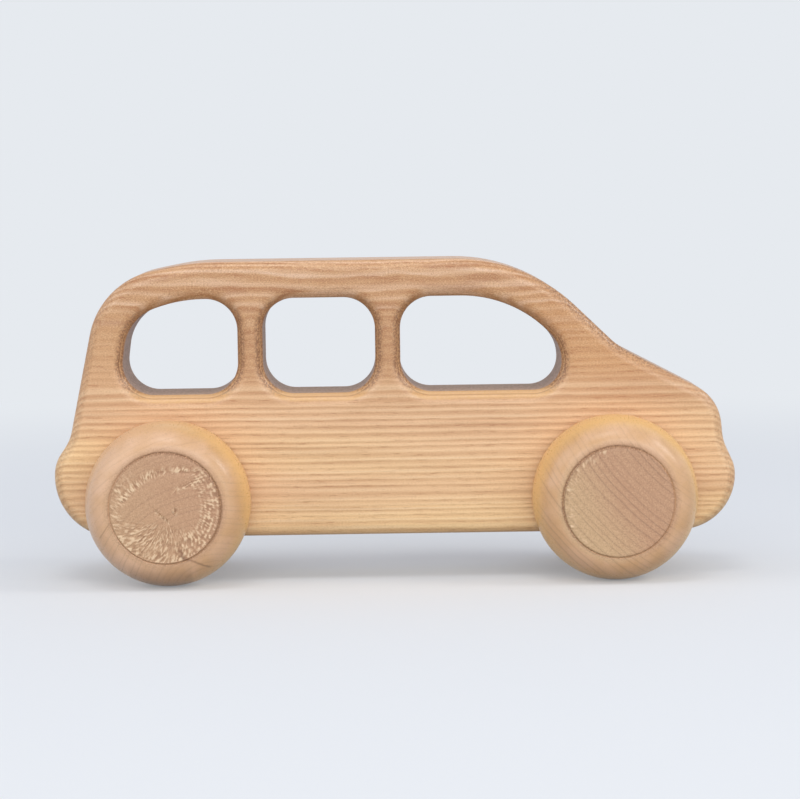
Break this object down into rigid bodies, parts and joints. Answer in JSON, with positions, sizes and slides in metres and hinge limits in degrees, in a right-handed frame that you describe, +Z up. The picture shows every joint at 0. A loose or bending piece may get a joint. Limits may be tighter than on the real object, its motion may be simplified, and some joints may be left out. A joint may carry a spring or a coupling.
{
  "type": "wooden toy bus",
  "caption": "Wooden push-along bus: a thick board body with through windows and rounded edges, rolling on solid turned wheels glued to dowel axles.",
  "frame": {"origin": "on the floor, under the middle of the bus's length and width", "axes": "+X towards the front of the bus, +Y towards its left side, +Z up; the picture looks along +Y at its right side"},
  "size_m": [0.166, 0.052, 0.078],
  "materials": {
    "body_wood": "oiled, satin",
    "wheel_wood": "oiled, satin",
    "axle_wood": "bare, planed"
  },
  "bodies": {
    "body": {"body": "body_wood"},
    "front_wheelset": {"front_axle": "axle_wood", "front_left_wheel": "wheel_wood", "front_right_wheel": "wheel_wood"},
    "rear_wheelset": {"rear_axle": "axle_wood", "rear_left_wheel": "wheel_wood", "rear_right_wheel": "wheel_wood"}
  },
  "joints": [
    {"name": "front_axle_spin", "type": "hinge", "parent": "body", "child": "front_wheelset", "pos_m": [0.0531, 0, 0.02], "axis": [0, 1, 0], "continuous": true},
    {"name": "rear_axle_spin", "type": "hinge", "parent": "body", "child": "rear_wheelset", "pos_m": [-0.0551, 0, 0.02], "axis": [0, 1, 0], "continuous": true}
  ]
}
